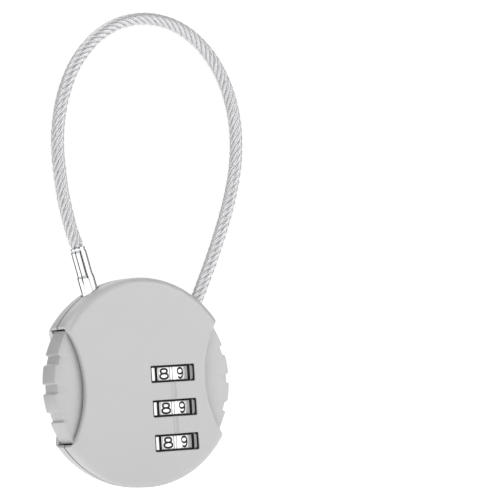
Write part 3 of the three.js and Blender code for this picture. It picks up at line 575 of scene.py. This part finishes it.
def button_solid(mirrored):
    """Loops of the outline from the front to the back, smaller by a quarter round at each end.
    Each end is closed by strips from the inner to the outer arc, not by one long face."""
    edge = 0.3
    t = np.linspace(0, 1, 5)
    insets = edge * (1 - np.sqrt(1 - (1 - t) ** 2))
    rows = ([(w, BUTTON_FRONT + edge * d) for w, d in zip(insets, t)]
            + [(w, BUTTON_BACK - edge * d) for w, d in zip(insets[::-1], t[::-1])])
    rings = []
    for inset, y in rows:
        outer, inner = button_outline(inset)
        loop = np.concatenate([outer, inner[::-1]])
        rings.append(np.insert(loop * [-1 if mirrored else 1, 1], 1, y, axis=1))
    rings = np.stack(rings)
    points, faces = ring_solid(rings)
    n = rings.shape[1]
    first = np.arange(n // 2 - 1)
    strips = np.stack([first, first + 1, n - 2 - first, n - 1 - first], axis=1)
    sides, front_face = faces[:-2], faces[-2]
    flip = front_face[0] < front_face[1]
    front_strips = (strips if flip else strips[:, ::-1]).tolist()
    back_strips = ((strips[:, ::-1] if flip else strips) + (len(points) - n)).tolist()
    return points, sides + front_strips + back_strips


for name, mirrored, body in (("left_button", True, "left_push"), ("right_button", False, "right_push")):
    button = piece(f"{name}_cap", [button_solid(mirrored)], corner=40)
    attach(button, body)
    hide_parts(name)

# The right button is hollowed where the dials would stop it when it is pressed.
relief = upright_bar(DIAL_X + BUTTON_TRAVEL, DIAL_Y, DIAL_R + 0.2, -15.0, 4.0, 128)
cut(bpy.data.objects["right_button_cap"], [relief])

# %% [markdown]
# ## Number dials
# Each dial is a white wheel with ten flats for its digits. Between two flats run
# two fine lines and a narrow notch, which click against a leaf spring. The
# radius is a formula of the angle from each digit's middle: a flat is a chord,
# and each line or notch is a small dip. A value from 0 to 1 says how much painted
# shade a point gets in the dips, and the finish darkens it by that much.

# %% Dials
DIGIT_STEP = 36.0
FIRST_DIGIT, FIRST_ANGLE = 8, -13.5
BAND_HALF_H = 1.32
FLAT_DISTANCE = 6.06


def dip(angle, middle, half_width):
    """A smooth dip: 1 in its middle, 0 at half_width from it."""
    t = np.clip(1 - np.abs(angle - middle) / half_width, 0, 1)
    return t * t * (3 - 2 * t)


def dial_radius(angle):
    """Degrees from the digit's middle to radius: a chord on the flat, the full radius beside
    it, less the dips. Also gives how much painted shade each angle gets in the dips."""
    chord = FLAT_DISTANCE / np.cos(np.radians(angle))
    on_flat = (angle > -11.8) & (angle < 6.9)
    radius = np.where(on_flat, np.minimum(chord, DIAL_R), DIAL_R)
    lines = np.maximum(dip(angle, 8.6, 1.8), dip(angle, 13.8, 1.8))
    notch = dip(angle, -13.4, 1.6)
    # The second value is painted shade: strong in the fine lines, light in the notch.
    return radius - 0.14 * lines - 0.2 * notch, np.maximum(0.8 * lines, 0.3 * notch)


def dial_solid(z):
    """Rings round z: the profile of radius by angle, drawn in at the band's edges, with a
    plain round hub above and below. Also gives the painted shade of each point in the dips."""
    phi = np.arange(1440) * 0.25
    from_digit = (phi - FIRST_ANGLE + DIGIT_STEP / 2) % DIGIT_STEP - DIGIT_STEP / 2
    radius, depth = dial_radius(from_digit)
    a = np.radians(phi)
    rows = [(0.5, BAND_HALF_H), (0.14, BAND_HALF_H), (0.04, BAND_HALF_H - 0.05), (0.0, BAND_HALF_H - 0.14)]
    rows = rows + [(inset, -h) for inset, h in rows[::-1]]
    hub = [(1.4, 2.6), (1.4, BAND_HALF_H)]
    rows = hub + rows + [(inset, -h) for inset, h in hub[::-1]]
    rings = []
    for inset, h in rows:
        reach = (radius if inset < 1 else DIAL_R) - inset
        rings.append(np.stack([
            DIAL_X + np.sin(a) * reach, DIAL_Y - np.cos(a) * reach, np.full_like(a, z + h)], axis=1))
    return ring_solid(np.stack(rings)), np.tile(depth, len(rows))


dials = []
for number, z in enumerate(DIAL_ZS, 1):
    solid, depth = dial_solid(z)
    dial = piece(f"dial_{number}_band", [solid], corner=50)
    # Each point stores its painted shade, which the dial finish reads to darken the dips.
    dial.data.attributes.new("dip_painted_shade", "FLOAT", "POINT").data.foreach_set("value", depth.astype(np.float32))
    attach(dial, f"wheel_{number}")
    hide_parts(f"dial_{number}")
    dials.append(dial)

# %% [markdown]
# ## Digits
# The digits are printed in black with round-ended strokes. Each stroke is a
# smooth line through a few knots, drawn in a box two high, and it becomes a very
# flat tube. Drawing them as strokes gives one even line weight, and the strokes
# are laid on the dial's flat: x along the flat, y up the axis, out by a hair.

# %% Digits
TOP_LOOP = [[0, 1], [-0.42, 0.83], [-0.5, 0.5], [-0.36, 0.17], [0, 0.06],
            [0.36, 0.17], [0.5, 0.5], [0.42, 0.83], [0, 1]]
LOW_LOOP = [[0, 0.06], [-0.48, -0.12], [-0.64, -0.5], [-0.46, -0.86], [0, -1], [0.46, -0.86], [0.64, -0.5],
            [0.48, -0.12], [0, 0.06]]
NINE = [[-0.5, -0.62], [-0.22, -0.95], [0.2, -0.94], [0.52, -0.55], [0.62, 0.1], [0.55, 0.62], [0.25, 0.94],
        [-0.2, 0.96], [-0.55, 0.7], [-0.62, 0.3], [-0.42, -0.06], [0, -0.17], [0.4, -0.02], [0.61, 0.3]]
STROKES = [
    [[[0, 1], [-0.46, 0.72], [-0.6, 0], [-0.46, -0.72], [0, -1],
      [0.46, -0.72], [0.6, 0], [0.46, 0.72], [0, 1]]],
    [[[-0.38, 0.6], [-0.1, 0.75], [0.1, 1]], [[0.1, 1], [0.1, -1]]],
    [[[-0.56, 0.5], [-0.35, 0.9], [0.1, 1], [0.5, 0.75], [0.52, 0.3], [0, -0.35], [-0.58, -1]],
     [[-0.58, -1], [0.6, -1]]],
    [[[-0.52, 0.65], [-0.2, 0.97], [0.3, 0.92], [0.5, 0.5], [0.3, 0.15], [-0.08, 0.07]],
     [[-0.08, 0.07], [0.4, -0.05], [0.6, -0.5], [0.35, -0.9], [-0.15, -0.98], [-0.6, -0.6]]],
    [[[0.3, -1], [0.3, 1]], [[0.3, 1], [-0.65, -0.4]], [[-0.65, -0.4], [0.65, -0.4]]],
    [[[0.5, 1], [-0.4, 1]], [[-0.4, 1], [-0.52, 0.08]],
     [[-0.52, 0.08], [-0.1, 0.32], [0.4, 0.15], [0.58, -0.35], [0.32, -0.86], [-0.15, -1], [-0.6, -0.62]]],
    [[[-x, -y] for x, y in NINE]],
    [[[-0.6, 1], [0.6, 1]], [[0.6, 1], [0.05, 0.1], [-0.2, -1]]],
    [TOP_LOOP, LOW_LOOP],
    [NINE],
]
DIGIT_W, DIGIT_H, STROKE = 1.34, 1.0, 0.2
DIGIT_SHIFT = 0.25
INK_HALF_DEPTH = 0.12


def laid(digit, z):
    """Each stroke as a flat tube: side to side by STROKE, and a hair thick, with round ends.
    Its x runs along the flat, its y up the axis, and it stands just proud of the flat."""
    phi = math.radians(FIRST_ANGLE + (digit - FIRST_DIGIT) * DIGIT_STEP)
    out = np.array([math.sin(phi), -math.cos(phi), 0.0])
    along = np.array([math.cos(phi), math.sin(phi), 0.0])
    foot = np.array([DIAL_X, DIAL_Y, z]) + out * (FLAT_DISTANCE + 0.01) - DIGIT_SHIFT * along
    solids = []
    for knots in STROKES[digit]:
        flat, mark = evenly(smooth_line(np.array(knots) * [DIGIT_W, DIGIT_H]), 0.07)
        line = foot + np.outer(flat[:, 0], along) + np.outer(flat[:, 1], [0.0, 0.0, 1.0])
        side = unit(np.cross(np.gradient(line, axis=0), out))
        closed = np.allclose(flat[0], flat[-1])
        from_end = np.minimum(mark, mark[-1] - mark)
        into = np.ones(len(mark)) if closed else np.clip(from_end / STROKE, 0.1, 1)
        width = np.repeat(STROKE * np.sqrt(1 - (1 - into) ** 2)[:, None], 10, axis=1)
        thick = np.tile(out * INK_HALF_DEPTH, (len(line), 1))
        solids.append(ring_solid(carried(line, width, side, thick)))
    return solids


prints = []
for number, z in enumerate(DIAL_ZS, 1):
    digits = piece(f"dial_{number}_digits", [stroke for d in range(10) for stroke in laid(d, z)], corner=60)
    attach(digits, f"wheel_{number}")
    prints.append(digits)

# %% [markdown]
# ## Window frames
# A black moulded frame lines each window. Two upright bars in it bound the dial,
# and outside each bar lies a narrow ribbed strip of white plastic; the right one is
# painted grey as shade. The frame is a ring of rounded rectangles, and each strip is
# a small wave in x, so both stay a formula.

# %% Window frames
FRAME_FRONT, FRAME_BACK = -7.3, -6.5


def frame_ring(z):
    """An outer and an inner rounded rectangle, front and back, as one closed loop of rings."""
    outer = rounded_rectangle(WINDOW_W / 2 - 0.03, WINDOW_H / 2 - 0.03, 0.22)
    inner = rounded_rectangle(WINDOW_W / 2 - 0.24, WINDOW_H / 2 - 0.42, 0.1)
    mid = (outer + inner) / 2
    loops = [(outer, FRAME_BACK), (outer, FRAME_FRONT), (mid, FRAME_FRONT - 0.04),
             (inner, FRAME_FRONT + 0.02), (inner, FRAME_BACK)]
    rings = np.stack([np.insert(loop + [DIAL_X, z], 1, y, axis=1) for loop, y in loops])
    m, n, _ = rings.shape
    at = np.arange(m * n).reshape(m, n)
    nxt, down = np.roll(at, -1, axis=1), np.roll(at, -1, axis=0)
    corner = np.roll(down, -1, axis=1)
    return rings.reshape(-1, 3), np.stack([at, down, corner, nxt], axis=-1).reshape(-1, 4).tolist()


def upright(x, half_w, z, front, deep):
    """A slim upright bar with rounded front edges."""
    return block(half_w, WINDOW_H / 2 - 0.1, 0.05, [(0, deep), (0, front + 0.05), (-0.04, front)], x, z, 4)


def ribbed_strip(x, half_w, z, ribs, tilt):
    """A strip whose front is a wave of ribs across x and leans outwards by tilt."""
    u = np.linspace(-1, 1, 61)
    y = -7.2 + 0.05 * np.cos(np.pi * ribs * (u + 1)) + tilt * half_w * u
    front = np.stack([x + half_w * u, y], axis=1)
    loop = np.concatenate([front, [[x + half_w, FRAME_BACK], [x - half_w, FRAME_BACK]]])
    rings = [np.insert(loop, 2, h, axis=1) for h in (z - WINDOW_H / 2 + 0.2, z + WINDOW_H / 2 - 0.2)]
    return ring_solid(np.stack(rings))


BARS = ((2.42, 0.28, FRAME_BACK), (9.97, 0.17, -6.8))
bars = [upright(x, half_w, z, FRAME_FRONT, deep) for z in DIAL_ZS for x, half_w, deep in BARS]
frames = piece("window_frames", [frame_ring(z) for z in DIAL_ZS] + bars, corner=40)
left_strips = piece("left_strips", [ribbed_strip(1.74, 0.42, z, 2, -0.1) for z in DIAL_ZS], corner=60)
right_strips = piece("right_strips", [ribbed_strip(10.56, 0.42, z, 4, 0.5) for z in DIAL_ZS], corner=60)
window_slots = {frames: "black_plastic", left_strips: "white_plastic", right_strips: "white_plastic"}
for part, slot in window_slots.items():
    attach(part, "case")

# %% [markdown]
# ## Finishes
# Every finish reads Object coordinates, so a pattern keeps its size in
# millimetres. A slow noise varies the colour a little. A finer one varies the
# roughness and gives the surface its bump: orange peel on paint, draw marks on
# steel, a faint grain on moulded plastic.


# %% Finishes
def finish(name, colour, shade, rough, metal=0.0, patch=0.25, grain=2.0, bump=0.05,
           stretch=(1, 1, 1), **sockets):
    """Principled, with noise at patch and grain cycles in a millimetre. shade is how much the
    colour varies, rough the lowest and highest roughness, and stretch squeezes the grain."""
    material = bpy.data.materials.new(name)
    material.use_nodes = True
    tree = material.node_tree
    add, link = tree.nodes.new, tree.links.new
    shader = tree.nodes["Principled BSDF"]
    place = add("ShaderNodeTexCoord")
    slow = add("ShaderNodeTexNoise")
    slow.inputs["Scale"].default_value = patch / MM
    slow.inputs["Detail"].default_value = 4
    link(place.outputs["Object"], slow.inputs["Vector"])
    ramp = add("ShaderNodeMix")
    ramp.data_type = "RGBA"
    dark, light = ([c * k for c in colour] + [1] for k in (1 - shade, 1 + shade))
    ramp.inputs["A"].default_value, ramp.inputs["B"].default_value = dark, [min(c, 1) for c in light]
    link(slow.outputs["Fac"], ramp.inputs["Factor"])
    link(ramp.outputs["Result"], shader.inputs["Base Color"])
    squeeze = add("ShaderNodeMapping")
    squeeze.inputs["Scale"].default_value = stretch
    link(place.outputs["Object"], squeeze.inputs["Vector"])
    fine = add("ShaderNodeTexNoise")
    fine.inputs["Scale"].default_value = grain / MM
    fine.inputs["Detail"].default_value = 3
    link(squeeze.outputs["Vector"], fine.inputs["Vector"])
    level = add("ShaderNodeMapRange")
    level.inputs["To Min"].default_value, level.inputs["To Max"].default_value = rough
    link(fine.outputs["Fac"], level.inputs["Value"])
    link(level.outputs["Result"], shader.inputs["Roughness"])
    relief = add("ShaderNodeBump")
    relief.inputs["Strength"].default_value = bump
    relief.inputs["Distance"].default_value = 0.1 * MM
    link(fine.outputs["Fac"], relief.inputs["Height"])
    link(relief.outputs["Normal"], shader.inputs["Normal"])
    shader.inputs["Metallic"].default_value = metal
    for socket, value in sockets.items():
        shader.inputs[socket.replace("_", " ")].default_value = value
    return material


def wear(obj, material):
    """Gives an object one finish."""
    obj.data.materials.clear()
    obj.data.materials.append(material)


paint = finish("satin_silver_paint", (0.45, 0.45, 0.45), 0.02, (0.38, 0.48), 0.2,
               patch=0.08, grain=1.6, bump=0.06, Coat_Weight=0.15, Coat_Roughness=0.3)
chrome = finish("polished_chrome", (0.76, 0.77, 0.78), 0.02, (0.03, 0.07), 1.0, grain=0.8, bump=0.01)
wire = finish("bright_wire", (0.53, 0.53, 0.54), 0.06, (0.22, 0.34), 0.9, patch=1.0, grain=6.0, bump=0.08)
steel = finish("drawn_steel", (0.50, 0.51, 0.53), 0.06, (0.25, 0.4), 1.0,
               grain=3.0, bump=0.08, stretch=(1, 1, 0.15))
brass = finish("turned_brass", (0.72, 0.55, 0.28), 0.07, (0.25, 0.38), 1.0, grain=3.0, bump=0.06)
white = finish("white_acetal", (0.93, 0.93, 0.92), 0.02, (0.3, 0.42), grain=3.0, bump=0.03)
# The same white acetal painted grey, as shade on the strips right of each window.
grey = finish("white_acetal_painted_shade", (0.33, 0.33, 0.33), 0.04, (0.35, 0.45), grain=3.0, bump=0.03)
black = finish("black_moulding", (0.004, 0.004, 0.004), 0.2, (0.55, 0.7),
               grain=3.0, bump=0.04, Specular_IOR_Level=0.2)
ink = finish("printed_black", (0.006, 0.006, 0.007), 0.2, (0.5, 0.62), grain=5.0, bump=0.02)
clear = finish("clear_sheath", (0.93, 0.93, 0.94), 0.01, (0.06, 0.1),
               patch=0.3, grain=0.6, bump=0.02, Alpha=0.15)

# %% [markdown]
# The dials use the white finish with two more steps. Where the stored value says
# that a point lies in a dip, the colour goes to near black: painted shade. And a little
# of the colour is given off as light: a painted glow that keeps the dial bright deep in its window.

# %% Dial finish
dial_white = white.copy()
dial_white.name = "dial_acetal"
tree = dial_white.node_tree
shader = tree.nodes["Principled BSDF"]
plain = shader.inputs["Base Color"].links[0].from_socket
depth = tree.nodes.new("ShaderNodeAttribute")
depth.attribute_name = "dip_painted_shade"
# Painted shade: the colour goes to near black by the stored amount in the dips.
painted_shade = tree.nodes.new("ShaderNodeMix")
painted_shade.data_type = "RGBA"
painted_shade.inputs["B"].default_value = (0.02, 0.02, 0.02, 1)
tree.links.new(depth.outputs["Fac"], painted_shade.inputs["Factor"])
tree.links.new(plain, painted_shade.inputs["A"])
tree.links.new(painted_shade.outputs["Result"], shader.inputs["Base Color"])
# Painted glow: the dial gives off its own colour as light, so it stays bright deep in its window.
tree.links.new(painted_shade.outputs["Result"], shader.inputs["Emission Color"])
shader.inputs["Emission Strength"].default_value = 0.3
shader.inputs["Specular IOR Level"].default_value = 0.2

# %% Give each piece its finish
worn = {
    paint: ["front_shell", "rear_shell", "left_button_cap", "right_button_cap"],
    chrome: ["ferrule_shell"], wire: ["cable_rope"], clear: ["cable_sheath"],
    # The black band in the parting gap is painted shadow.
    steel: ["rivet_1", "rivet_2", "rivet_3"], black: ["reset_plunger", "window_frames", "parting_shade_band"],
    # The right strips are white plastic painted grey as shade.
    white: ["left_strips"], grey: ["right_strips"],
    dial_white: [dial.name for dial in dials], ink: [digits.name for digits in prints],
}
for material, names in worn.items():
    for name in names:
        wear(bpy.data.objects[name], material)
inner = {
    steel: ["left_button_spring", "right_button_spring", "dial_leaf_spring", "spindle", "spindle_spring",
            "locking_pin", "latch_clip", "ejector_spring", "cable_anchor", "reset_spring"],
    brass: ["clutch_sleeve_1", "clutch_sleeve_2", "clutch_sleeve_3", "spindle_wedge", "pin_socket",
            "ejector_barrel", "clip_spreader"],
    black: ["dial_carrier"], white: ["ejector_plunger"],
}
for material, names in inner.items():
    for name in names:
        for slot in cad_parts[name].material_slots:
            slot.material = material
print(len(worn) + len(inner), "finishes given")

# %% [markdown]
# ## Floor and light
# A pale floor, a white surround and three large soft lights: a key from the upper
# left, a fill from the right and one from behind. Chrome needs something dark to
# reflect. The surround has two dark bands that only reflections see, and two dark
# cards stand on the floor outside the picture, as a studio would set them.

# %% Floor and light
FLOOR_Z = -0.0937
FLOOR_HALF = 4.0


def panel(name, corners):
    """One flat four-cornered sheet."""
    sheet = bpy.data.meshes.new(name)
    sheet.from_pydata(corners, [], [(0, 1, 2, 3)])
    made = bpy.data.objects.new(name, sheet)
    bpy.context.scene.collection.objects.link(made)
    return made


sides = ((-1, -1), (1, -1), (1, 1), (-1, 1))
floor = panel("floor", [(x * FLOOR_HALF, y * FLOOR_HALF, FLOOR_Z) for x, y in sides])
wear(floor, finish("floor_paper", (0.9, 0.9, 0.9), 0.01, (0.6, 0.7), patch=0.01, grain=0.5, bump=0.02,
                   Specular_IOR_Level=0.0, Emission_Color=(1, 1, 1, 1), Emission_Strength=0.6))


def dark_card(bearing, distance, width, height=0.16):
    """An upright card on the floor, out of the picture, for the chrome to mirror."""
    a, half = math.radians(bearing), width / 2
    foot = Vector((math.sin(a), -math.cos(a), 0)) * distance
    side = Vector((math.cos(a), math.sin(a), 0)) * half
    low, high = Vector((0, 0, FLOOR_Z)), Vector((0, 0, FLOOR_Z + height))
    card = panel("card", [foot - side + low, foot + side + low, foot + side + high, foot - side + high])
    wear(card, ink)


dark_card(-80, 0.17, 0.045)
dark_card(-155, 0.2, 0.11)

world = bpy.context.scene.world or bpy.data.worlds.new("world")
bpy.context.scene.world = world
world.use_nodes = True
tree = world.node_tree
tree.nodes.clear()
output = tree.nodes.new("ShaderNodeOutputWorld")
direction = tree.nodes.new("ShaderNodeTexCoord")
split = tree.nodes.new("ShaderNodeSeparateXYZ")
tree.links.new(direction.outputs["Generated"], split.inputs["Vector"])
bearing = tree.nodes.new("ShaderNodeMath")
bearing.operation = "ARCTAN2"
tree.links.new(split.outputs["Y"], bearing.inputs[0])
tree.links.new(split.outputs["X"], bearing.inputs[1])
bands = tree.nodes.new("ShaderNodeMapRange")
bands.inputs["From Min"].default_value = -math.pi
bands.inputs["From Max"].default_value = math.pi
tree.links.new(bearing.outputs["Value"], bands.inputs["Value"])
ramp = tree.nodes.new("ShaderNodeValToRGB")
tree.links.new(bands.outputs["Result"], ramp.inputs["Fac"])
GREYS = [(0.0, 1.0), (0.205, 1.0), (0.215, 0.02), (0.252, 0.02), (0.262, 1.0), (0.48, 1.0), (0.50, 0.05),
         (0.56, 0.05), (0.58, 1.0), (1.0, 1.0)]
ramp.color_ramp.elements[0].position, ramp.color_ramp.elements[-1].position = GREYS[0][0], GREYS[-1][0]
for stop, grey in GREYS[1:-1]:
    ramp.color_ramp.elements.new(stop)
for element, (_, grey) in zip(ramp.color_ramp.elements, GREYS):
    element.color = (grey, grey, grey, 1)
seen = tree.nodes.new("ShaderNodeBackground")
seen.inputs["Strength"].default_value = 1.05
lit = tree.nodes.new("ShaderNodeBackground")
lit.inputs["Strength"].default_value = 0.75
tree.links.new(ramp.outputs["Color"], lit.inputs["Color"])
seen.inputs["Color"].default_value = (1, 1, 1, 1)
ray = tree.nodes.new("ShaderNodeLightPath")
both = tree.nodes.new("ShaderNodeMixShader")
tree.links.new(ray.outputs["Is Camera Ray"], both.inputs["Fac"])
tree.links.new(lit.outputs["Background"], both.inputs[1])
tree.links.new(seen.outputs["Background"], both.inputs[2])
tree.links.new(both.outputs["Shader"], output.inputs["Surface"])


def soft_light(name, bearing, height, distance, size, power):
    """A square area light at a bearing and height about the body, looking at it."""
    lamp = bpy.data.lights.new(name, "AREA")
    lamp.size, lamp.energy = size, power
    holder = bpy.data.objects.new(name, lamp)
    bpy.context.scene.collection.objects.link(holder)
    a, b = math.radians(bearing), math.radians(height)
    out = Vector((math.sin(a) * math.cos(b), -math.cos(a) * math.cos(b), math.sin(b)))
    middle = Vector((-0.005, 0.0, -0.05))
    facing = out.to_track_quat("Z", "Y").to_matrix().to_4x4()
    holder.matrix_world = Matrix.Translation(middle + out * distance) @ facing


soft_light("key", -60, 40, 1.0, 0.7, 2.6)
soft_light("fill", 40, 25, 1.1, 0.9, 3.2)
soft_light("rim", 170, 50, 1.1, 0.8, 2)
bpy.context.scene.view_settings.view_transform = "Standard"
